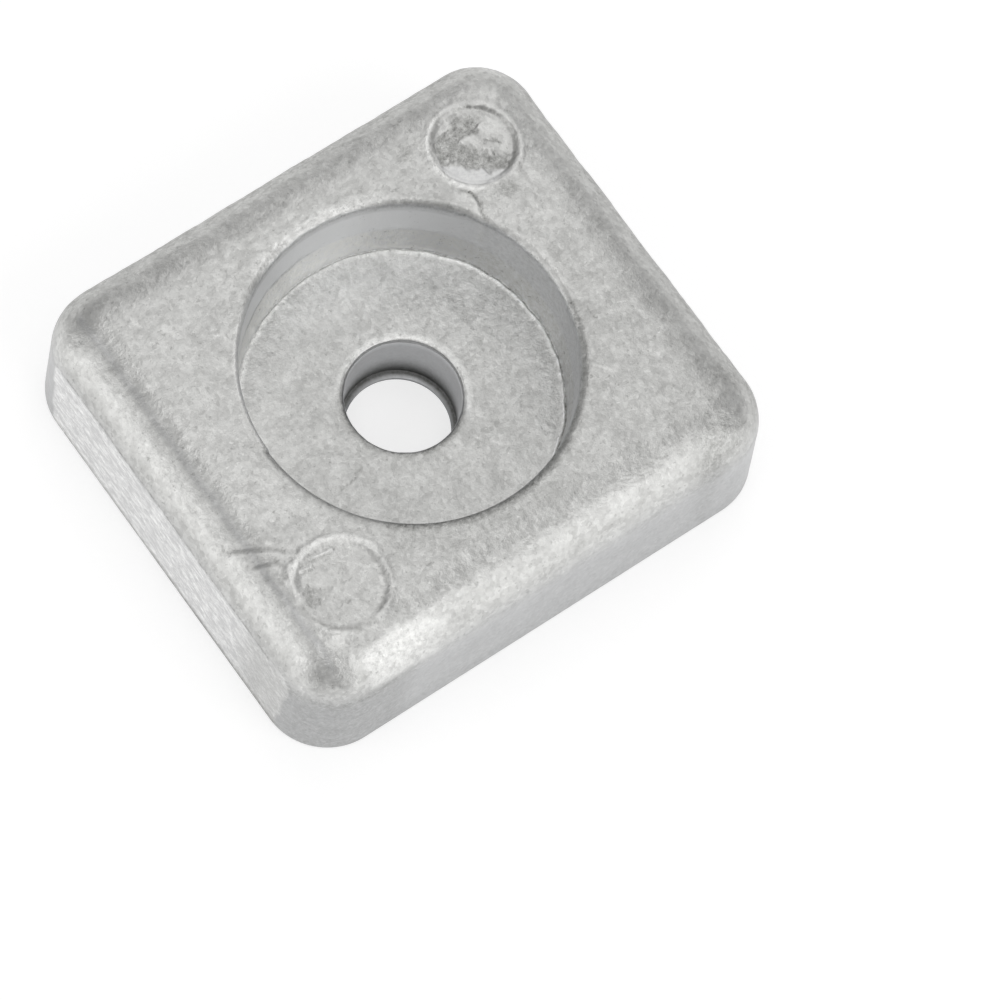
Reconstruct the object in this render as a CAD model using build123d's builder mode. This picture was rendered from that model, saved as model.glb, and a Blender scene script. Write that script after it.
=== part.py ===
from build123d import *
from math import cos, radians, sin, tan
import os

# Block-shaped sacrificial anode: one solid casting of zinc alloy with soft edges and drafted sides.
# Its flat back face is bolted to the metal that it protects, and the head and washer of that bolt
# sit in the round well in its front face.
# Frame: millimetres, +Z up, origin where the axis of the bolt hole meets the back face.

# Block
block_length = 34.0  # along X, at the back face
block_width = 30.4  # along Y, at the back face
block_height = 9.8  # from the back face to the front face
side_draft = 2.0  # degrees that each side leans in, so that the casting leaves its die
front_edge_radius = 3.6  # soft edge all round the front face
front_corner_radius = 0.2  # corners of the flat front face, inside the soft edge
back_edge_chamfer = 0.3  # worn edge all round the back face

# Well and bolt hole
well_mouth_radius = 10.0
well_lip_radius = 0.55  # rounding where the well opens in the front face
floor_thickness = 4.5  # metal under the head of the bolt
well_floor_radius = 9.5
well_foot_height = 2.0  # more tapered foot of the wall, where the metal froze first
bolt_hole_radius = 3.5  # clearance for an M6 bolt
bolt_hole_chamfer = 0.3  # broken edge of the hole in the floor of the well

# Ejector pin marks, on one diagonal of the front face
pin_radius = 2.5
pin_offset_x = 11.15
pin_offset_y = 9.3
back_pin_depth = 0.35
front_pin_depth = 0.2
pin_bead_width = 0.6  # metal squeezed up round the pin
pin_bead_height = 0.1

# Side where the gate was ground off flat
gate_lean_beyond_draft = 0.8  # degrees

# The corners of the block stay round enough for the soft edge to run round them
front_edge_setback = front_edge_radius * tan(radians(45 - side_draft / 2))
draft_setback = block_height * tan(radians(side_draft))
corner_radius = front_corner_radius + front_edge_setback + draft_setback

# The upper wall of the well has the draft of the sides, down to its more tapered foot
well_foot_top = floor_thickness + well_foot_height
well_foot_radius = well_mouth_radius - (block_height - well_foot_top) * tan(radians(side_draft))

# The ground face leans in a little more than the side that it was cut from
gate_lean = radians(side_draft + gate_lean_beyond_draft)

# The bead is the cap of a ring whose middle lies this far under the front face
pin_bead_ring_radius = (pin_bead_width**2 / 4 + pin_bead_height**2) / (2 * pin_bead_height)
pin_bead_ring_height = block_height + pin_bead_height - pin_bead_ring_radius

with BuildPart() as anode_block:
    # Drafted block with round corners, a soft front edge and a worn back edge
    with BuildSketch():
        RectangleRounded(block_length, block_width, corner_radius)
    extrude(amount=block_height, taper=side_draft)
    fillet(anode_block.faces().sort_by(Axis.Z)[-1].edges(), radius=front_edge_radius)
    chamfer(anode_block.faces().sort_by(Axis.Z)[0].edges(), length=back_edge_chamfer)

    # Ground side: a flat cut that starts at the back edge and goes deeper towards the front face
    gate_face = Plane(origin=(-block_length / 2, 0, 0), z_dir=(-cos(gate_lean), 0, sin(gate_lean)))
    split(bisect_by=gate_face, keep=Keep.BOTTOM)

    # Well with its drafted wall, tapered foot and floor, and the bolt hole through the floor
    with BuildSketch(Plane.XZ):
        with BuildLine():
            Polyline(
                (0, block_height),
                (well_mouth_radius, block_height),
                (well_foot_radius, well_foot_top),
                (well_floor_radius, floor_thickness),
                (bolt_hole_radius, floor_thickness),
                (bolt_hole_radius, 0),
                (0, 0),
                close=True,
            )
        make_face()
    revolve(axis=Axis.Z, mode=Mode.SUBTRACT)
    rings = anode_block.edges(Select.LAST).filter_by(GeomType.CIRCLE).group_by(Axis.Z)
    fillet(rings[-1], radius=well_lip_radius)
    chamfer(rings[1].sort_by(SortBy.RADIUS)[0], length=bolt_hole_chamfer)

    # Ejector pin marks: a bead of squeezed metal, with the round dent of the pin inside it
    for side, pin_depth in ((1, back_pin_depth), (-1, front_pin_depth)):
        pin_x = side * pin_offset_x
        pin_y = side * pin_offset_y
        with Locations((pin_x, pin_y, pin_bead_ring_height)):
            Torus(pin_radius + pin_bead_width / 2, pin_bead_ring_radius)
        with Locations((pin_x, pin_y, block_height)):
            Hole(pin_radius, depth=pin_depth)

anode_block.part.label = "anode_block"
os.makedirs("parts", exist_ok=True)
export_step(anode_block.part, "parts/anode_block.step")
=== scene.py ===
import bmesh
import bpy
import numpy as np
from math import cos, pi, radians, sin, tan
from mathutils import Matrix, Vector


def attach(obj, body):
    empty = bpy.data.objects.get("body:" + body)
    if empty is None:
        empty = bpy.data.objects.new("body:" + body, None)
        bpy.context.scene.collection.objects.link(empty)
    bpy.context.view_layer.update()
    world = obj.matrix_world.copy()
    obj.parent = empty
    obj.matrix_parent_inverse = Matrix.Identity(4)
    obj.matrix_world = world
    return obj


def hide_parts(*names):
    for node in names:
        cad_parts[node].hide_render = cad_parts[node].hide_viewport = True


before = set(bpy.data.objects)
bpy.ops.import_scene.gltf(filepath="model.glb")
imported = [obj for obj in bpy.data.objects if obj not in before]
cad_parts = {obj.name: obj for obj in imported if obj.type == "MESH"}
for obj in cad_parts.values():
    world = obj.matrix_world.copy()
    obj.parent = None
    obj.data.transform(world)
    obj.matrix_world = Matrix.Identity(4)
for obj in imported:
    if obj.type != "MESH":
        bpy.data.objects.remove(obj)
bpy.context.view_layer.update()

# Casting: the whole anode is one block of zinc alloy, poured into a steel die and pushed out of it by
# two pins. Its sides lean in and its edges are soft, so that it leaves the die, and the head of the
# bolt that holds it sits in the round well in its front face.
mm = 0.001
block_length = 33.94
block_width = 30.34
block_height = 9.8
side_draft = radians(2)
soft_edge_radius = 3.6
front_corner_radius = 0.2
back_edge_radius = 0.3
around = 400  # columns of faces round the block and round the well
corner_columns = 24

draft_setback = block_height * tan(side_draft)
soft_edge_setback = soft_edge_radius * tan(pi / 4 - side_draft / 2)
corner_radius = front_corner_radius + soft_edge_setback + draft_setback


def choose(kind, test):
    """Selects the vertices, edges or faces in edit mode that pass the test, and nothing else."""
    bpy.ops.mesh.select_mode(type={"verts": "VERT", "edges": "EDGE", "faces": "FACE"}[kind])
    bpy.ops.mesh.select_all(action="DESELECT")
    mesh = bmesh.from_edit_mesh(casting.data)
    for element in getattr(mesh, kind):
        if test(element):
            element.select_set(True)
    mesh.select_flush_mode()
    bmesh.update_edit_mesh(casting.data)


def middle(element):
    """The middle of an edge or a face, in millimetres."""
    points = [vertex.co for vertex in element.verts]
    return sum(points[1:], points[0]) / len(points) / mm


bpy.ops.object.select_all(action="DESELECT")
bpy.ops.mesh.primitive_plane_add(size=1)
casting = bpy.context.object
casting.name = casting.data.name = "anode_casting"
bpy.ops.object.mode_set(mode="EDIT")
bpy.ops.transform.resize(value=(block_length * mm, block_width * mm, 1))
bpy.ops.mesh.bevel(affect="VERTICES", offset=corner_radius * mm, segments=corner_columns)

# The straight sides are divided so that the outline has as many columns as the well
straight_x = block_length - 2 * corner_radius
straight_y = block_width - 2 * corner_radius
side_columns = (around - 4 * corner_columns) // 2
columns_x = round(side_columns * straight_x / (straight_x + straight_y))
for run, columns in ((straight_x, columns_x), (straight_y, side_columns - columns_x)):
    choose("edges", lambda edge: abs(edge.calc_length() / mm - run) < 0.01)
    bpy.ops.mesh.subdivide(number_cuts=columns - 1)

# The outline is drawn up in rings: the leaning sides, then the soft edge
side_top = block_height - soft_edge_radius * (1 - sin(side_draft))
side_rings = 15
soft_rings = 29
rings = [(side_top * k / side_rings * tan(side_draft), side_top * k / side_rings)
         for k in range(1, side_rings + 1)]
for k in range(1, soft_rings + 1):
    turn = side_draft + (pi / 2 - side_draft) * k / soft_rings
    setback = side_top * tan(side_draft) + soft_edge_radius * (cos(side_draft) - cos(turn))
    rings.append((setback, block_height - soft_edge_radius * (1 - sin(turn))))
choose("faces", lambda face: True)
inward, up = 0, 0
for setback, height in rings:
    bpy.ops.mesh.inset(thickness=(setback - inward) * mm, depth=(height - up) * mm)
    inward, up = setback, height
bpy.ops.mesh.delete(type="ONLY_FACE")

# Well, from the lip down: drafted wall, more tapered foot, floor, bolt hole and the thin web of flash
# that the die left at the far end of the hole
lip_radius = 0.55
well_mouth_radius = 10.0
foot_top = 6.5
foot_height = 0.06  # of the lower end of the foot, above the floor
well_foot_radius = well_mouth_radius - (block_height - foot_top) * tan(side_draft)
well_floor_radius = 9.6
floor_height = 4.5
groove_and_ridge = ((9.53, 4.45), (9.46, 4.53), (9.41, 4.545), (9.32, 4.5))  # round the floor, at its border
hole_radius = 3.5
hole_edge_radius = 0.32
web_radius = 3.2
web_thickness = 0.12
lip_rings = 8
hole_edge_rings = 5
front_rings = 38
back_rings = 6


def run_to(profile, radius, height, step):
    """Carries the profile on in a straight line, in equal steps."""
    from_radius, from_height = profile[-1]
    count = max(1, round(((radius - from_radius) ** 2 + (height - from_height) ** 2) ** 0.5 / step))
    for k in range(1, count + 1):
        profile.append((from_radius + (radius - from_radius) * k / count,
                        from_height + (height - from_height) * k / count))


lip_middle = well_mouth_radius - lip_radius * (1 - cos(side_draft)) + lip_radius
profile = [(lip_middle, block_height)]
for k in range(1, lip_rings + 1):
    turn = (pi / 2 - side_draft) * k / lip_rings
    profile.append((lip_middle - lip_radius * sin(turn), block_height - lip_radius + lip_radius * cos(turn)))
run_to(profile, well_foot_radius, foot_top, step=0.24)
run_to(profile, well_floor_radius, floor_height + foot_height, step=0.14)
for radius, height in groove_and_ridge:
    run_to(profile, radius, height, step=0.1)
run_to(profile, hole_radius + hole_edge_radius, floor_height, step=0.18)
for k in range(1, hole_edge_rings + 1):
    turn = pi / 2 * k / hole_edge_rings
    profile.append((hole_radius + hole_edge_radius * (1 - sin(turn)),
                    floor_height - hole_edge_radius * (1 - cos(turn))))
run_to(profile, hole_radius, web_thickness, step=0.4)
run_to(profile, web_radius + 0.06, web_thickness * 0.8, step=0.07)
run_to(profile, web_radius, web_thickness * 0.4, step=0.05)
run_to(profile, web_radius, 0, step=0.1)

bpy.ops.mesh.select_all(action="DESELECT")
radius, height = profile[0]
bpy.ops.mesh.primitive_circle_add(vertices=around, radius=radius * mm, location=(0, 0, height * mm))
for next_radius, next_height in profile[1:]:
    bpy.ops.mesh.extrude_edges_move(
        TRANSFORM_OT_translate={"value": (0, 0, (next_height - height) * mm)})
    scale = next_radius / radius
    bpy.ops.transform.resize(value=(scale, scale, 1), center_override=(0, 0, 0))
    radius, height = next_radius, next_height


def is_rim(edge, height):
    """True for an open edge at this height."""
    return edge.is_boundary and all(abs(vertex.co.z / mm - height) < 0.001 for vertex in edge.verts)


# Faces join the soft edge to the lip of the well at the front, and the sides to the web at the back
choose("edges", lambda edge: is_rim(edge, block_height))
bpy.ops.mesh.bridge_edge_loops(number_cuts=front_rings, interpolation="LINEAR")
choose("edges", lambda edge: is_rim(edge, 0))
bpy.ops.mesh.bridge_edge_loops(number_cuts=back_rings, interpolation="LINEAR")
choose("faces", lambda face: True)
bpy.ops.mesh.normals_make_consistent(inside=False)
choose("edges", lambda edge: edge.calc_face_angle(0) > 1 and middle(edge).z < 0.001
       and middle(edge).xy.length > 12)
bpy.ops.mesh.bevel(affect="EDGES", offset=back_edge_radius * mm, segments=3)

# The gate was ground off one side: a flat face that leans in a little more than that side did
gate_lean = side_draft + radians(0.8)
gate_point = (-block_length / 2 * mm, 0, 0)
gate_normal = (-cos(gate_lean), 0, sin(gate_lean))
choose("faces", lambda face: middle(face).x < -10)
bpy.ops.mesh.bisect(plane_co=gate_point, plane_no=gate_normal)


def beyond_gate(vertex):
    """How far a vertex stands out of the ground face, in millimetres."""
    return sum((vertex.co[k] - gate_point[k]) * gate_normal[k] for k in range(3)) / mm


choose("verts", lambda vertex: beyond_gate(vertex) > -0.0005)
lean = Matrix.Rotation(gate_lean, 3, "Y")
bpy.ops.transform.resize(value=(0, 1, 1), orient_type="LOCAL", orient_matrix=lean,
                         orient_matrix_type="LOCAL", center_override=gate_point)


def is_ground(face):
    """True for a face of the flat that was ground."""
    return all(abs(beyond_gate(vertex)) < 0.002 for vertex in face.verts)


def meets_web(edge):
    """True for an edge in the corner where the wall of the hole meets the web."""
    return abs(middle(edge).xy.length - hole_radius) < 0.01 and abs(middle(edge).z - web_thickness) < 0.01


choose("edges", lambda edge: sum(is_ground(face) for face in edge.link_faces) == 1 or meets_web(edge))
bpy.ops.mesh.mark_sharp()

# The skin is divided more finely where small marks lie, and once more at the rims of the pin marks
back_mark = (11.15, 9.3)
front_mark = (-11.24, -9.36)
mark_radius = 2.5
wrinkles = (((-15.39, -3.76), (-13.6, -5.0), (-12.9, -5.7)),
            ((-14.68, -5.42), (-13.72, -5.89), (-13.51, -6.39)))
flow_line = ((8.6, 7.38), (9.02, 7.1), (9.24, 6.7), (9.24, 6.03), (9.01, 5.6), (8.93, 4.97))


def off(place, point):
    """Distance in millimetres across the front face from a point."""
    return ((place[0] - point[0]) ** 2 + (place[1] - point[1]) ** 2) ** 0.5


for spot, inner, outer in ((back_mark, 0, 3.1), (front_mark, 0, 3.5), ((9.2, 6.0), 0, 1.0),
                           ((-14.2, -5.0), 0, 1.6), (back_mark, 2.3, 2.7), (front_mark, 2.3, 2.7)):
    choose("faces", lambda face: face.normal.z > 0.3 and middle(face).z > 7.5
           and middle(face).xy.length > 10.8 and inner < off(middle(face), spot) < outer)
    bpy.ops.mesh.subdivide(number_cuts=1)

bpy.ops.object.mode_set(mode="OBJECT")
bpy.ops.object.shade_smooth()


def places():
    """Where each vertex of the casting is, in millimetres."""
    points = np.empty(3 * len(casting.data.vertices))
    casting.data.vertices.foreach_get("co", points)
    return points.reshape(-1, 3).T / mm


def rise(value, low, high):
    """0 at low and 1 at high, with a smooth run between them."""
    part = np.clip((value - low) / (high - low), 0, 1)
    return part * part * (3 - 2 * part)


def fall(value, low, high):
    """1 at low and 0 at high, with a smooth run between them."""
    return rise(-value, -high, -low)


def span(value, start, full, last, end):
    """1 from full to last, running smoothly down to 0 at start and at end."""
    return rise(value, start, full) * fall(value, last, end)


def band(value, centre, half):
    """1 at the centre of a band, fading to both sides."""
    return np.exp(-((value - centre) / half) ** 2)


def away(points):
    """Distance in millimetres across the front face from a line through the points."""
    nearest = np.full(len(x), 1e9)
    for (x0, y0), (x1, y1) in zip(points, points[1:]):
        run = (x1 - x0) ** 2 + (y1 - y0) ** 2
        part = np.clip(((x - x0) * (x1 - x0) + (y - y0) * (y1 - y0)) / run, 0, 1)
        nearest = np.minimum(nearest, np.hypot(x - x0 - part * (x1 - x0), y - y0 - part * (y1 - y0)))
    return nearest


def beside(points, right, up):
    """The same line, moved across the front face."""
    return [(px + right, py + up) for px, py in points]


def relief(amount, height, grain=None, depth=2, direction="NORMAL"):
    """Lifts the skin by a height in millimetres, as far as the amount at each vertex says. A grain in
    millimetres makes the lift uneven, up and down."""
    group = casting.vertex_groups.new(name="relief")
    kept = np.nonzero(amount > 0.001)[0]
    for index, weight in zip(kept.tolist(), amount[kept].tolist()):
        group.add([index], weight, "REPLACE")
    lift = casting.modifiers.new("relief", "DISPLACE")
    lift.vertex_group = group.name
    lift.direction = direction
    lift.strength = height * mm
    lift.mid_level = 0
    if grain:
        lift.texture = bpy.data.textures.new("grain", "CLOUDS")
        lift.texture.noise_scale = grain * mm
        lift.texture.noise_depth = depth
        lift.texture_coords = "LOCAL"
        lift.mid_level = 0.5
    bpy.ops.object.modifier_apply(modifier=lift.name)
    casting.vertex_groups.clear()


def darken(amount):
    """Makes the skin darker for the material, as painted shade or as a dark mark, where it isn't so dark yet.
    1 is the darkest.
    """
    np.maximum(shade_and_dark_marks, amount, out=shade_and_dark_marks)


def lighten(amount):
    """Makes the skin lighter for the material, as painted light or as a pale mark, where it isn't so light
    yet. 1 is the lightest.
    """
    np.maximum(light_and_pale_marks, amount, out=light_and_pale_marks)


def valley():
    """1 along the bottom of the groove at the inner border of the ground side's soft edge."""
    return band(x + 0.04 * np.sin(1.7 * y), -14.44, 0.2)


# Skin as it froze against the die: the front and the soft edges are uneven, the sides are smoother
x, y, z = places()
from_axis = np.hypot(x, y)
bearing = np.degrees(np.arctan2(y, x))
# Painted shade and painted light, with the dark and pale marks, gathered for the material
shade_and_dark_marks = np.zeros(len(x))
light_and_pale_marks = np.zeros(len(x))
beyond = -(x + block_length / 2) * cos(gate_lean) + z * sin(gate_lean)
ground = fall(np.abs(beyond), 0.002, 0.008)
block = from_axis > 10.5  # all but the well and its lip
top = (z > 7) * (from_axis > 9.9)
front = rise(z, 6.3, 7.5) * rise(from_axis, 10.0, 10.6)
floor_skin = rise(from_axis, 3.6, 3.9) * (from_axis < 9.3) * (z > 4) * (z < 5)
foot_skin = (from_axis < 9.95) * (from_axis > 9.0) * fall(z, 6.2, 6.6) * (z > 4.4)
relief(front, 0.11, grain=3.0, depth=1)
relief(front, 0.06, grain=0.9)
relief(np.maximum(front, np.maximum(floor_skin, foot_skin)), 0.045, grain=0.35, depth=1)
relief(floor_skin, 0.05, grain=1.5, depth=1)

# The foot of the well froze unevenly: it lies a little further over on two sides
floor_border = fall(z, 4.7, 6.5) * (z > 4.3) * rise(from_axis, 7.0, 9.0) * (from_axis < 9.95)
relief(floor_border, -0.12, direction="Y")
relief(floor_border * rise(bearing, 95, 135), -0.34, direction="X")

# The sides are only a little wavy, all but the ground face
relief(block * (z > 0.4) * (1 - front) * (1 - ground), 0.03, grain=1.6)

# The front face sank a little beside the front mark, and shallow grooves lie along the inner border of
# one soft edge and across it, where the skin wrinkled as it froze
relief(top * fall(away(((-12.3, -3.6), (-9.0, -6.9))), 0.2, 1.7), -0.09)
relief(top * band(x, -14.35, 0.5) * span(y, -10.5, -8.0, 9.5, 11.5), -0.04)
# Painted shade in the groove along the soft edge
darken(0.38 * top * valley() * span(y, -9.5, -7.0, 9.8, 11.0))
# Painted highlight in a strip on the soft edge beyond the groove, and painted shade on its outer part
edge_border = 14.62 + 0.6 * fall(y, -12.3, -10.5)
painted_highlight_strip = rise(-x - edge_border, 0, 0.13) * rise(x, -16.4, -15.4) * span(y, -12.7, -12.2, 10.5, 12.0)
lighten(0.2 * top * painted_highlight_strip)
darken(0.12 * top * (1 - ground) * fall(x, -16.5, -16.0) * span(y, -12.0, -10.5, 10.5, 12.0))

# The two soft edges on the far sides carry painted shade, and so does the corner that the front mark lies in,
# with a painted highlight across it. The soft edge on the near side carries a painted highlight.
far_sides = np.maximum(rise(x, 15.0, 16.4), rise(y, 13.2, 14.6))
darken(block * far_sides * span(z, 5.6, 8.0, 8.6, 9.5) * (0.24 + 0.13 * fall(z, 8.0, 8.8)))
# Painted highlights along the inner borders of the far soft edges and on the left of the front face
lighten(0.1 * top * np.maximum(band(y, 13.0, 0.7), band(x, 14.9, 0.6)) * (x > -12) * (y > -10))
lighten(0.07 * top * (z > 9.5) * fall(x, -11, -8))
corner = rise(-x - y, 22.6, 26.5) * block
darken(0.34 * corner * fall(z, 6.6, 7.6))
lighten(0.3 * corner * band(z, 9.1, 0.6) * band(x - y, -1.8, 1.5))
near_edge = block * fall(y, -12.9, -12.4) * span(x, -13.0, -12.4, 15.0, 16.0)
lighten(near_edge * (0.03 + 0.38 * fall(x, -10.0, -6.0)) * span(z, 6.95, 7.2, 9.28, 9.38))
# Painted highlight on the near end of the ground face, painted shade on the right corner, and a painted
# highlight beside it
lighten(0.35 * ground * fall(y, -11, -6))
darken(0.27 * block * band(x - y, 26.3, 1.6) * (x > 10))
painted_corner_highlight = top * np.exp(-(off((x, y), (14.4, -12.2)) / 0.9) ** 2)
shade_and_dark_marks *= 1 - painted_corner_highlight
lighten(0.35 * painted_corner_highlight)
# Wrinkles: a groove and a ridge beside it, with painted shade along the groove
for line in wrinkles:
    relief(top * band(away(line), 0, 0.22), -0.08)
    relief(top * band(away(beside(line, 0.2, -0.42)), 0, 0.22), 0.07)
    darken(0.36 * top * band(away(line), 0, 0.2))
for line, half_width in ((((-16.5, -5.48), (-17.07, -6.42)), 0.09), (((8.76, -6.01), (9.7, -7.01)), 0.06)):
    lighten(0.55 * top * band(away(line), 0, half_width))

# Lip of the well: sharper on one side, worn rough where the core of the die dragged on it, with painted
# highlights on the worn part, and painted shade where it turns away. Bearings are in degrees round the axis
# of the hole.
relief((z > 9.22) * (from_axis < 10.6) * band(from_axis, 10.16, 0.15) * rise(bearing, 112, 130), 0.13)
clumps = 0.6 + 0.4 * np.sin(5.3 * x + 1.7 * y) * np.sin(4.1 * y - 2.2 * x + 1)
for first, last, wear in ((64, 116, 1.0), (-8, 14, 0.8)):
    worn_and_lit = top * band(from_axis, 10.5, 0.36) * span(bearing, first - 5, first + 5, last - 5, last + 5)
    relief(worn_and_lit, 0.1 * wear, grain=0.5)
    lighten(0.8 * wear * worn_and_lit * clumps)
lip = (z > 9) * (from_axis > 9.9)
turned_away = 1 - span(bearing, -14, -4, 158, 172)
nearest = span(bearing, -160, -130, -80, -55)
darken(lip * turned_away * (0.24 + 0.14 * nearest) * fall(from_axis, 10.35, 10.95))
# Painted shade also spreads onto the front face beside the lip, on the near side and to the right
darken(lip * nearest * 0.12 * fall(from_axis, 11.5, 13.0))
darken(lip * 0.13 * span(bearing, -60, -35, 5, 20) * fall(from_axis, 11.3, 11.7))
darken(lip * 0.14 * span(bearing, 36, 44, 56, 64) * fall(from_axis, 10.4, 10.9))
darken((z > 9) * 0.25 * (1 - nearest) * band(from_axis, 10.03, 0.05))
shade_and_dark_marks[lip * rise(np.abs(bearing), 125, 140) > 0.5] *= 0.5
darken(0.06 * top * rise(x, 5, 9) * rise(z, 9.3, 9.6) * fall(y, -4, 4))
# Painted highlights in thin lines on the lip at the left and inside it at the back
lighten(lip * 0.4 * band(from_axis, 10.5, 0.09) * rise(np.abs(bearing), 160, 168))
lighten(lip * 0.5 * fall(from_axis, 10.2, 10.4) * rise(bearing, 118, 135))

# Wall and foot of the well: painted shade in a wavy line between them at the back, painted light on the foot
# and on the upper wall at the back left, and painted shade on the wall on the right
in_well = from_axis < 9.95
wave = 0.08 * np.sin(bearing / 3.1) + 0.05 * np.sin(bearing / 1.3 + 1)
darken(0.36 * in_well * band(z + wave, foot_top, 0.13) * span(bearing, 84, 96, 125, 145))
foot = in_well * span(z, 4.4, 4.6, 6.3, 6.55) * (from_axis > 9.3)
lighten(foot * (0.6 + 0.4 * rise(bearing, 85, 120)))
lighten(in_well * 0.7 * (z > 6.7) * (z < 9.5) * rise(bearing, 112, 140))
darken((from_axis < 10.03) * 0.17 * (z > 4.6) * (z < 9.65) * span(bearing, -70, -45, 15, 50))

# Floor of the well: a scratch, fine pits, and a wandering groove and ridge at its border, which blend
# into the foot on one side
# Painted light on the floor towards the far wall, where the wall's shade falls
lighten(0.16 * floor_skin * rise(from_axis, 6.5, 9.0) * rise(bearing, 15, 40))
lighten(0.13 * floor_skin * rise(from_axis, 5.0, 7.5) * rise(bearing, 30, 60))
scratch = floor_skin * band(away(((-4.71, -2.39), (-5.6, -2.8), (-6.65, -2.93))), 0, 0.07)
relief(scratch, -0.04)
darken(0.3 * scratch)
at_floor = (z > 4) * (z < 4.6)
ridge = band(from_axis, 9.42, 0.07) * at_floor * (z > 4.5)
worn_down = rise(bearing, 28, 75) * (0.6 + 0.2 * np.sin(bearing / 1.7) + 0.4 * rise(bearing, 105, 120))
relief(ridge * worn_down, -0.05, direction="Z")
border = band(from_axis, 9.45, 0.2) * (z > 4) * (z < 4.7)
relief(border, 0.22, grain=1.1, direction="X")
relief(border, 0.22, grain=1.3, direction="Y")
broken_line = (0.85 + 0.15 * np.sin(bearing / 2.1) * np.sin(bearing / 5.3 + 1)) * fall(bearing, 108, 136)
on_right = fall(bearing, 30, 60)
ridge_line = broken_line * fall(bearing, 100, 120) * band(from_axis, 9.38, 0.06) * (z > 4) * (z < 4.62)
# Painted highlight on the ridge, painted shade in the groove at the floor's border, and faint painted shade
# on the rest of the floor
lighten((0.1 + 0.2 * on_right) * ridge_line)
darken((0.5 + 0.3 * on_right) * broken_line * band(from_axis, 9.54, 0.05) * at_floor)
darken(0.05 * floor_skin * (1 - span(bearing, 20, 50, 95, 115)))
relief(floor_skin * band(from_axis, 6.0, 1.3), 0.05, grain=0.5)

# Bolt hole: rough at its edge, darker towards the back face, with its web lying off centre
near_side = rise(-y - x, -1, 2)
hole_edge = (z > 3.9) * (z < 5)
# Painted highlight on the far side of the hole's edge, and painted shade on its near side
lighten(hole_edge * 0.5 * (1 - near_side) * fall(from_axis, 3.95, 4.1) * (z > 4.24))
darken(hole_edge * 0.35 * near_side * fall(from_axis, 3.7, 4.15))
relief(hole_edge * band(from_axis, 3.7, 0.4), 0.05, grain=0.6)
# Painted shade in the hole, darker towards the back face, and darkest on the web's upper face
darken((from_axis < 3.65) * fall(z, 4.05, 4.28) * (0.37 + 0.28 * fall(z, 0.3, 2.4)))
web = (from_axis < web_radius + 0.09) * (z < 0.3) * 1.0
darken(0.82 * (from_axis > web_radius + 0.09) * (from_axis < hole_radius + 0.01) * (z < 0.3))
shade_and_dark_marks[web > 0] = 0.35
relief(web, -0.17, direction="X")
relief(web, -0.2, direction="Y")

# Sides: painted shade along the back edge, over the sides and more towards the bottom, and in the crease
# along the upper border of the ground face
darken(block * fall(z, 0.4, 0.6) * (0.25 + ground * (0.1 + 0.3 * fall(y, -8, 10))))
darken(block * (1 - ground) * (0.1 * fall(z, 6.8, 7.1) + 0.08 * fall(z, 4.5, 6.5) + 0.07 * fall(z, 0.8, 2.5)))
ground_top = z[(ground > 0.5) * (np.abs(y) < 5)].max()
darken(0.5 * (x < -16) * band(z, ground_top, 0.16) * span(y, -11.5, -9.5, 10.5, 12.5))

# Ejector pin marks. Across and up are turned to how the camera sees the block, so that up is roughly
# towards the corner that the back mark lies in.
turned = (0.8167, 0.577)


def from_mark(mark):
    """Across and up from the middle of a mark, its distance in millimetres and its angle in degrees."""
    u = turned[0] * (x - mark[0]) - turned[1] * (y - mark[1])
    v = turned[1] * (x - mark[0]) + turned[0] * (y - mark[1])
    return u, v, np.hypot(u, v), np.degrees(np.arctan2(v, u))


def patch(across, up, half_across, half_up):
    """1 within a patch of the mark with an uneven outline, fading at its border."""
    ragged_u = u - across + 0.13 * np.sin(5.1 * v + 2.3 * u + 1.0) + 0.07 * np.sin(13.0 * v - 7.0 * u)
    ragged_v = v - up + 0.13 * np.sin(4.3 * u - 1.7 * v + 0.4) + 0.07 * np.sin(11.0 * u + 8.0 * v)
    return top * fall(np.hypot(ragged_u / half_across, ragged_v / half_up), 0.75, 1.15)


def ring(distance, half):
    """1 on a ring round the middle of the mark, this far outside its rim."""
    return top * band(r, mark_radius + distance, half)


def side(angle, low, high):
    """1 on the side of the mark that lies at this angle, 0 on the other."""
    return rise(np.cos(np.radians(turn - angle)), low, high)


def press(bottom, inner, outer):
    """Lowers the skin to the bottom of the mark, with a wall from inner to outer beside its rim."""
    inside = top * fall(r, mark_radius - inner, mark_radius + outer)
    reach = 0.6  # deeper than any mark
    relief(inside * np.clip((z - bottom) / reach, 0, 1), -reach, direction="Z")


# Back mark: the pin sank furthest in at the upper right, and the metal under it tore
back_mark_depth = 0.15
x, y, z = places()
u, v, r, turn = from_mark(back_mark)
bottom = block_height - back_mark_depth - 0.025 * u - 0.025 * v + 0.08 * fall(v, -2.3, -1.5)
press(bottom, inner=0.22, outer=0.12)
relief(ring(0.3, 0.22), 0.06)
torn = np.zeros(len(x))
for spot in ((-0.55, 1.2, 0.9, 0.7), (-1.65, -0.35, 0.8, 0.95), (-0.8, -0.7, 0.8, 0.7), (0.1, -0.9, 1.0, 0.8),
             (1.0, -1.15, 0.7, 0.55), (1.6, -0.85, 0.6, 0.6), (-1.3, 0.5, 0.55, 0.45), (1.1, 0.3, 0.7, 0.14)):
    torn = np.maximum(torn, patch(*spot))
torn *= r < mark_radius - 0.1
for spot in ((0.05, 0.25, 0.5, 0.28), (1.75, 0.2, 0.3, 0.3), (1.1, 1.3, 0.8, 0.6), (-1.9, 0.95, 0.4, 0.4)):
    torn *= 1 - patch(*spot)
    lighten(0.25 * patch(*spot))
relief(torn, -0.05)
relief(torn, 0.11, grain=0.5)
darken(0.36 * torn)
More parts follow.
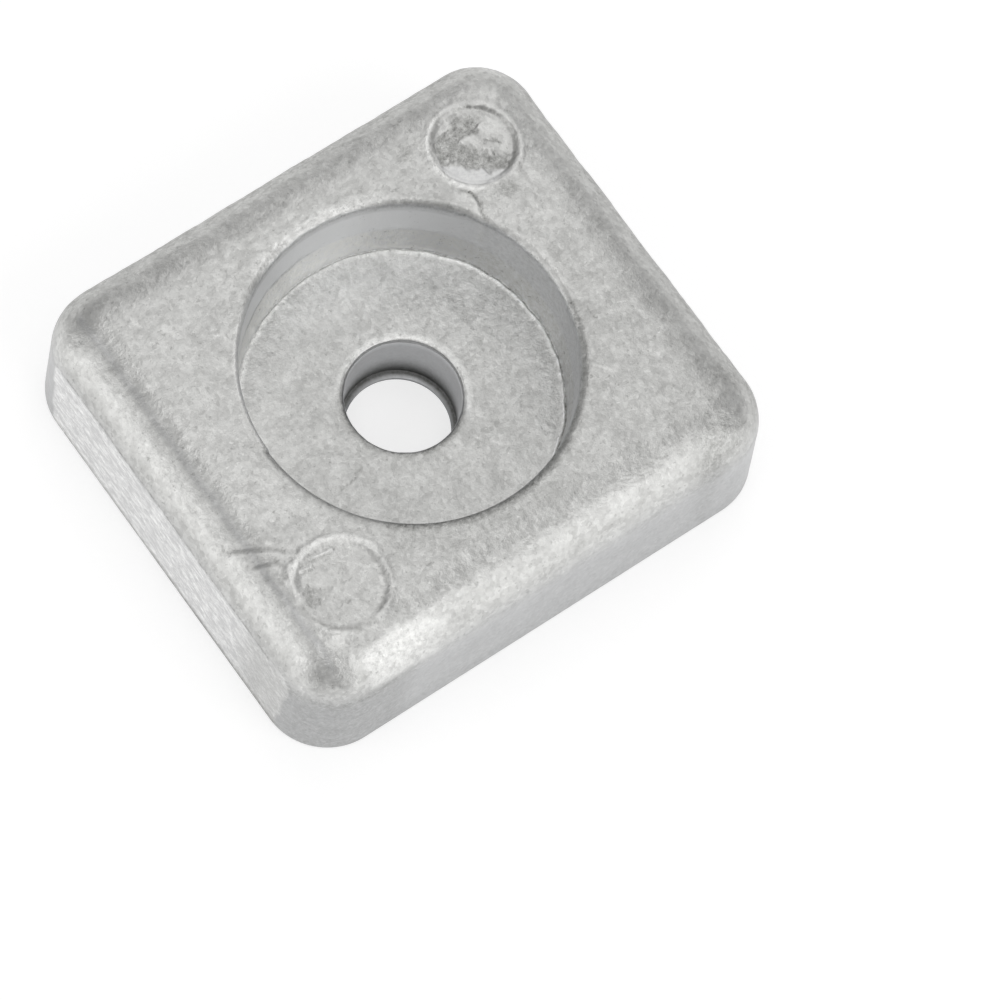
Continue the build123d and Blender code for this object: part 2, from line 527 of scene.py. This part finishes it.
# Painted shade round the rim of the mark, most on the upper right, and a painted highlight inside it on the
# left
darken(ring(-0.06, 0.08) * (0.08 + 0.18 * side(45, -0.2, 0.4)))
darken(0.13 * ring(-0.16, 0.16) * side(40, 0.3, 0.7))
lighten(0.35 * ring(-0.08, 0.14) * fall(u, -2.0, -1.0))
# A smooth crescent below the mark with a painted highlight on it, and a painted highlight in a ring outside
# the rim
smooth_lit_crescent = top * fall(v, -1.65, -1.4) * fall(r, 2.58, 2.72)
lighten(0.45 * smooth_lit_crescent)
lighten(ring(0.32, 0.17) * (0.25 + 0.35 * rise(-u - 0.4 * v, 0.4, 1.6)))
for spot, amount in (((2.0, -2.75, 0.75, 0.45), 0.28), ((-4.1, -0.8, 0.5, 0.6), 0.25),
                     ((-3.3, 2.0, 0.7, 0.35), 0.18)):
    rough_spot = patch(*spot)
    relief(rough_spot, 0.09, grain=0.4)
    darken(amount * rough_spot)
above = ring(0.85, 0.45) * rise(v, 0.3, 1.5)
relief(above, 0.06, grain=0.4)
lighten(0.3 * above)

# Flow line that runs from it towards the well
relief(top * band(away(flow_line), 0, 0.12), -0.05)
relief(top * band(away(beside(flow_line, -0.22, -0.16)), 0, 0.16), 0.04)
# Painted shade in the groove, and a painted highlight on the ridge beside it
darken(0.45 * top * band(away(flow_line), 0, 0.1))
lighten(0.3 * top * band(away(beside(flow_line, -0.25, -0.18)), 0, 0.14))

# Front mark: shallow and smooth, with a rim of metal raised on its upper left side and two small tears
front_mark_depth = 0.08
x, y, z = places()
u, v, r, turn = from_mark(front_mark)
press(block_height - front_mark_depth, inner=0.2, outer=0.25)
raised = ring(0.55, 0.27) * side(115, 0.25, 0.6)
relief(raised, 0.13)
relief(raised, 0.08, grain=0.5)
# Painted highlight on the raised rim
lighten(0.65 * raised)
relief(ring(0.35, 0.2), 0.04)
# Each tear: a crest with a painted highlight, and painted shade along the tear itself
for tear in (((-1.95, 1.39), (-1.3, 1.72), (-0.65, 2.05)), ((-2.37, 0.62), (-1.83, 0.95))):
    points = [(front_mark[0] + turned[0] * right + turned[1] * up,
               front_mark[1] - turned[1] * right + turned[0] * up) for right, up in tear]
    crest = beside(points, 0.09, 0.15)
    relief(top * band(away(crest), 0, 0.14), 0.07)
    lighten(0.5 * top * band(away(crest), 0, 0.09))
    darken(0.3 * top * band(away(points), 0, 0.08))
# Painted shade at the rim on the upper right and below the mark, and a painted highlight outside it below
darken(0.11 * ring(0.03, 0.1) * side(25, -0.1, 0.2))
darken(0.25 * ring(0.15, 0.12) * side(262, 0.45, 0.75))
lighten(0.2 * ring(0.42, 0.14) * side(262, 0.3, 0.6))
pitted = np.maximum(patch(-1.75, -0.75, 0.55, 0.5), 0.6 * patch(-1.3, -0.3, 0.7, 0.3))
pitted = np.maximum(pitted, 0.4 * np.maximum(patch(0.1, 0.8, 0.3, 0.6), patch(-0.2, -0.8, 0.8, 0.25)))
relief(pitted, -0.04)
relief(pitted, 0.12, grain=0.4)
darken(0.3 * pitted)

# Nothing stands higher than the beads round the marks
bead_top = 9.89
too_high = 0.3  # more than anything stands above them
x, y, z = places()
relief(np.clip((z - bead_top) / too_high, 0, 1) * (z > block_height), -too_high, direction="Z")


def keep(name, amount):
    """Stores an amount on the casting for its material to read."""
    layer = casting.data.attributes.new(name, "FLOAT", "POINT")
    layer.data.foreach_set("value", np.asarray(amount, float))


# What the material needs to know of each place: how rough the skin is, where the core of the die rubbed it
# and the well is painted lighter, where painted shade, painted light and marks lie, and what was ground
x, y, z = places()
from_axis = np.hypot(x, y)
facing = span(bearing, -60, -30, 20, 60)
rough_skin = np.where(from_axis > 10.02, 0.45 + 0.55 * rise(z, 5.5, 8.3), 1.0)
rough_skin -= (from_axis < 10.3) * (0.65 - 0.35 * facing) * span(z, 6.1, 6.9, 9.3, 9.5)
rough_skin[from_axis < 3.6] = 0.15
rough_skin *= (1 - 0.6 * smooth_lit_crescent) * (1 - 0.3 * (z > 9) * valley())
rubbed_and_lit = fall(from_axis, 10.0, 10.15) * (z > 4.55)
keep("rough_skin", rough_skin)
keep("burnished_and_lit", rubbed_and_lit * (1 - 0.08 * fall(z, 6.25, 6.75) * (1 - facing)))
keep("shade_and_dark_marks", shade_and_dark_marks)
keep("light_and_pale_marks", light_and_pale_marks)
keep("ground", ground)


# Zinc alloy as cast: dull grey metal. Its fine, uneven skin scatters the light, so that it looks pale
# and frosted, and nothing is mirrored in it.
def srgb(hexcode):
    """A colour written as sRGB hex, as linear values."""
    values = [int(hexcode[k:k + 2], 16) / 255 for k in (1, 3, 5)]
    return [v / 12.92 if v <= 0.04045 else ((v + 0.055) / 1.055) ** 2.4 for v in values] + [1]


def node(tree, kind, sockets=(), **settings):
    """Adds a node with its settings. Each socket takes a value, or a link from another node's output."""
    new = tree.nodes.new(kind)
    for name, value in settings.items():
        setattr(new, name, value)
    for socket, value in dict(sockets).items():
        if isinstance(value, bpy.types.NodeSocket):
            tree.links.new(value, new.inputs[socket])
        else:
            new.inputs[socket].default_value = value
    return new


zinc = bpy.data.materials.new("zinc_as_cast")
zinc.use_nodes = True
tree = zinc.node_tree
tree.nodes.clear()
place = node(tree, "ShaderNodeTexCoord").outputs["Object"]
rough, on_ground, on_wall, shade_and_marks_in, light_and_marks_in = (
    node(tree, "ShaderNodeAttribute", attribute_name=name).outputs["Fac"]
    for name in ("rough_skin", "ground", "burnished_and_lit", "shade_and_dark_marks", "light_and_pale_marks"))

# Mottle: the crystals of the skin, about 0.1 mm across, drawn at 0.26 mm so that they show, in clouds
# of 1.4 mm
clouds = node(tree, "ShaderNodeTexNoise",
              {"Vector": place, "Scale": 1 / (1.4 * mm), "Detail": 3, "Roughness": 0.85, "Distortion": 0.3})
cloudy = node(tree, "ShaderNodeMapRange",
              {"Value": clouds.outputs["Fac"], "From Min": 0.22, "From Max": 0.78})
crystals = node(tree, "ShaderNodeTexVoronoi", {"Vector": place, "Scale": 1 / (0.26 * mm)})
facets = node(tree, "ShaderNodeMath",
              {0: crystals.outputs["Color"], 1: 0.68, 2: cloudy.outputs[0]}, operation="MULTIPLY_ADD")
level = node(tree, "ShaderNodeMapRange", {"Value": facets.outputs[0], "From Min": 0.16, "From Max": 1.46})
mottled = node(tree, "ShaderNodeMix",
               {0: level.outputs[0], 6: srgb("#B2B2B0"), 7: srgb("#E2E2E0")}, data_type="RGBA")
cast = node(tree, "ShaderNodeMix", {0: rough, 6: srgb("#CACBCE"), 7: mottled.outputs[2]}, data_type="RGBA")

# Wall of the well: rubbed smooth by the core of the die, and made lighter with painted light
wall = node(tree, "ShaderNodeMix", {0: on_wall, 6: cast.outputs[2], 7: srgb("#F5F6F8")}, data_type="RGBA")

# Ground face: bright streaks along the side, 0.4 mm across and about twice as long
along = node(tree, "ShaderNodeMapping", {"Vector": place, "Scale": (1, 0.45, 1)})
streaks = node(tree, "ShaderNodeTexNoise",
               {"Vector": along.outputs[0], "Scale": 1 / (0.4 * mm), "Detail": 3, "Roughness": 0.9,
                "Distortion": 0.3})
streaky = node(tree, "ShaderNodeMapRange",
               {"Value": streaks.outputs["Fac"], "From Min": 0.42, "From Max": 0.7})
scoured = node(tree, "ShaderNodeMix",
               {0: streaky.outputs[0], 6: srgb("#CECECE"), 7: srgb("#FCFCFB")}, data_type="RGBA")
bare = node(tree, "ShaderNodeMix",
            {0: on_ground, 6: wall.outputs[2], 7: scoured.outputs[2]}, data_type="RGBA")

# Painted shade and light, and dark and pale marks, broken up by a grain of 0.35 mm, and fine pits and glints
# of 0.32 mm all over
specks = node(tree, "ShaderNodeTexNoise",
              {"Vector": place, "Scale": 1 / (0.35 * mm), "Detail": 3, "Roughness": 0.9})
broken = node(tree, "ShaderNodeMapRange",
              {"Value": specks.outputs["Fac"], "From Min": 0.35, "From Max": 0.65,
               "To Min": 0.2, "To Max": 1.8})
uneven = node(tree, "ShaderNodeMix", {0: rough, 2: 1.0, 3: broken.outputs[0]})
dots = node(tree, "ShaderNodeTexNoise",
            {"Vector": place, "Scale": 1 / (0.32 * mm), "Detail": 2, "Roughness": 0.7})
shown = []
for mark, low, high, most in ((shade_and_marks_in, 0.64, 0.74, 0.33), (light_and_marks_in, 0.36, 0.26, 0.4)):
    dotted = node(tree, "ShaderNodeMapRange",
                  {"Value": dots.outputs["Fac"], "From Min": low, "From Max": high, "To Max": most})
    rough_dots = node(tree, "ShaderNodeMath", {0: dotted.outputs[0], 1: rough}, operation="MULTIPLY")
    shown.append(node(tree, "ShaderNodeMath", {0: mark, 1: uneven.outputs[0], 2: rough_dots.outputs[0]},
                      operation="MULTIPLY_ADD", use_clamp=True))
darkened, lightened = shown
# Painted light and pale marks go towards near white, and painted shade and dark marks towards dark grey
lit = node(tree, "ShaderNodeMix",
           {0: lightened.outputs[0], 6: bare.outputs[2], 7: srgb("#FAFAF8")}, data_type="RGBA")
final = node(tree, "ShaderNodeMix",
             {0: darkened.outputs[0], 6: lit.outputs[2], 7: srgb("#5E5E5A")}, data_type="RGBA")

# The skin is finely uneven, in lumps of 0.7 mm and less
lumps = node(tree, "ShaderNodeTexNoise",
             {"Vector": place, "Scale": 1 / (0.7 * mm), "Detail": 4, "Roughness": 0.75})
uneven_skin = node(tree, "ShaderNodeMath", {0: lumps.outputs["Fac"], 1: rough}, operation="MULTIPLY")
bump = node(tree, "ShaderNodeBump", {"Height": uneven_skin.outputs[0], "Distance": 0.075 * mm, "Strength": 1})
metal = node(tree, "ShaderNodeBsdfPrincipled",
             {"Metallic": 1, "Roughness": 0.42, "Base Color": final.outputs[2], "Normal": bump.outputs[0]})
node(tree, "ShaderNodeOutputMaterial", {"Surface": metal.outputs["BSDF"]})
casting.data.materials.append(zinc)
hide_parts("anode_block")
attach(casting, "root")

# Floor: plain pale board under the anode. It looks white to the camera and in reflections, and keeps
# the anode's shadow.
bpy.ops.object.select_all(action="DESELECT")
bpy.ops.mesh.primitive_plane_add(size=6, location=(0, 0, -0.00002))
floor = bpy.context.object
floor.name = "floor"
board = bpy.data.materials.new("pale_board")
board.use_nodes = True
tree = board.node_tree
tree.nodes.clear()
paper = node(tree, "ShaderNodeBsdfDiffuse", {"Color": (0.55, 0.55, 0.55, 1)})
glow = node(tree, "ShaderNodeEmission", {"Strength": 0.62})
seen = node(tree, "ShaderNodeLightPath")
either = node(tree, "ShaderNodeMath",
              {0: seen.outputs["Is Camera Ray"], 1: seen.outputs["Is Glossy Ray"]}, operation="MAXIMUM")
any_of = node(tree, "ShaderNodeMath",
              {0: either.outputs[0], 1: seen.outputs["Is Transmission Ray"]}, operation="MAXIMUM")
glowing = node(tree, "ShaderNodeAddShader", {0: paper.outputs[0], 1: glow.outputs[0]})
mix = node(tree, "ShaderNodeMixShader", {0: any_of.outputs[0], 1: paper.outputs[0], 2: glowing.outputs[0]})
node(tree, "ShaderNodeOutputMaterial", {"Surface": mix.outputs[0]})
floor.data.materials.append(board)

# World: an even pale studio
world = bpy.data.worlds.new("studio")
bpy.context.scene.world = world
world.use_nodes = True
world.node_tree.nodes.clear()
room = node(world.node_tree, "ShaderNodeBackground", {"Strength": 0.345, "Color": (1, 1, 1, 1)})
node(world.node_tree, "ShaderNodeOutputWorld", {"Surface": room.outputs[0]})

# Lamps: soft rectangles that face the anode, all as far from it. Each has the way that it lies in, its
# width and height in metres and its power in watts.
lamp_distance = 0.9
for name, way, width, height, power in (
        ("left_low", (-0.93, 0.27, 0.24), 0.7, 0.4, 1.09),
        ("left_mid", (-0.70, 0.22, 0.67), 0.7, 0.4, 0.6),
        ("right_low", (0.27, -0.93, 0.24), 0.7, 0.4, 1.12),
        ("right_mid", (0.22, -0.70, 0.67), 0.7, 0.4, 1.17),
        ("overhead_back", (0.33, 0.33, 0.88), 0.6, 0.6, 0.84),
        ("overhead", (-0.1, -0.1, 0.99), 0.5, 0.5, 1.14),
        ("back", (0.62, 0.62, 0.48), 0.8, 0.4, 0.64)):
    light_data = bpy.data.lights.new(name, "AREA")
    light_data.shape = "RECTANGLE"
    light_data.size, light_data.size_y, light_data.energy = width, height, power
    lamp = bpy.data.objects.new(name, light_data)
    bpy.context.scene.collection.objects.link(lamp)
    away_from_anode = Vector(way).normalized()
    lamp.location = away_from_anode * lamp_distance
    lamp.rotation_mode = "QUATERNION"
    lamp.rotation_quaternion = away_from_anode.to_track_quat("Z", "Y")
    lamp.visible_camera = False

# Camera: high over the corner where the ground side meets a plain one, with the anode on its side of
# the picture as photographed
camera_data = bpy.data.cameras.new("camera")
camera_data.lens = 234.41
camera_data.sensor_width = 36
camera = bpy.data.objects.new("camera", camera_data)
bpy.context.scene.collection.objects.link(camera)
picture_right = Vector((0.813692, -0.574848, 0.086348))
picture_down = Vector((-0.509657, -0.776936, -0.369623))
ahead = Vector((0.279563, 0.256751, -0.925161))
camera.location = (-0.105683, -0.106473, 0.357443)
camera.rotation_euler = Matrix((picture_right, -picture_down, -ahead)).transposed().to_euler()
bpy.context.scene.camera = camera
bpy.context.scene.view_settings.view_transform = "Standard"
